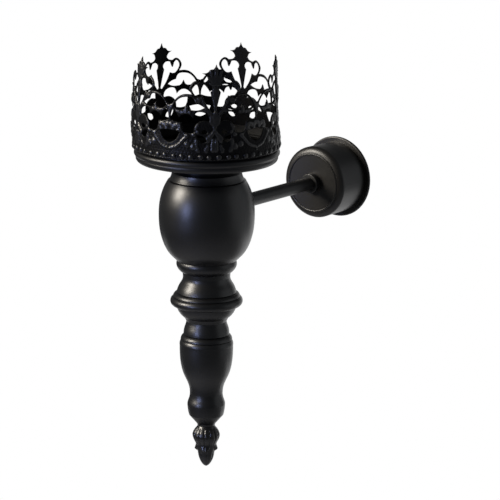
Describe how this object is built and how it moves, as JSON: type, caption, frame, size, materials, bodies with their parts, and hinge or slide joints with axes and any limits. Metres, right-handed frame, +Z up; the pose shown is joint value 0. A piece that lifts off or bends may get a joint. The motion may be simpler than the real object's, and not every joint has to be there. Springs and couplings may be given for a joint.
{
  "type": "wall candle holder",
  "caption": "Wall candle holder: a turned spindle on a round arm carries a shallow pan with a pierced crown, and a spun cup hides the plate on the wall.",
  "frame": {"origin": "centre of the wall plate on the wall, which is also the axis of the arm", "axes": "+Z up, +Y into the wall, so the holder stands out towards -Y"},
  "size_m": [0.0856, 0.1707, 0.2441],
  "materials": {
    "spindle_paint": "turned wood under satin black paint",
    "crown_paint": "stamped steel, satin black paint, thinner on the raised edges",
    "pan_paint": "spun steel, semi-gloss black paint",
    "arm_paint": "steel, semi-gloss black paint",
    "cup_paint": "spun steel, satin black paint",
    "finial_paint": "cast metal, satin black paint",
    "dark_steel": "blackened steel",
    "bright_steel": "zinc-plated steel"
  },
  "bodies": {
    "root": {"wall_plate": "bright_steel", "lock_nut": "bright_steel", "wall_cup": "cup_paint", "rod_collar": "arm_paint", "collar_screw": "dark_steel", "arm_rod": "arm_paint", "spindle": "spindle_paint", "candle_pan": "pan_paint", "filigree_crown": "crown_paint", "pan_washer": "bright_steel", "pan_screw": "bright_steel", "finial": "finial_paint", "finial_stud": "bright_steel"}
  },
  "joints": []
}
